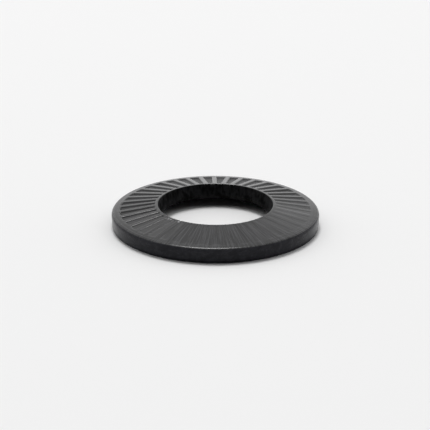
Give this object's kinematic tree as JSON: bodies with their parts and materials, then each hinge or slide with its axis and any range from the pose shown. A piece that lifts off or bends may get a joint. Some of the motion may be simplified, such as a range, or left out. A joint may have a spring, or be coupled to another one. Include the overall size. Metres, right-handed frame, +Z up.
{
  "type": "serrated conical washer",
  "caption": "Round conical spring washer with straight radial ribs on its upper face, a smooth rounded rim and a plain round hole.",
  "frame": {"origin": "centre of the hole, in the plane that the washer's outer lower edge rests on", "axes": "+Z up along the hole's axis, towards the ribbed face; +X and +Y lie in the resting plane, with one rib close to +Y"},
  "size_m": [0.02, 0.02, 0.0022],
  "materials": {
    "blackened_steel": "satin"
  },
  "bodies": {
    "root": {"washer": "blackened_steel"}
  },
  "joints": []
}
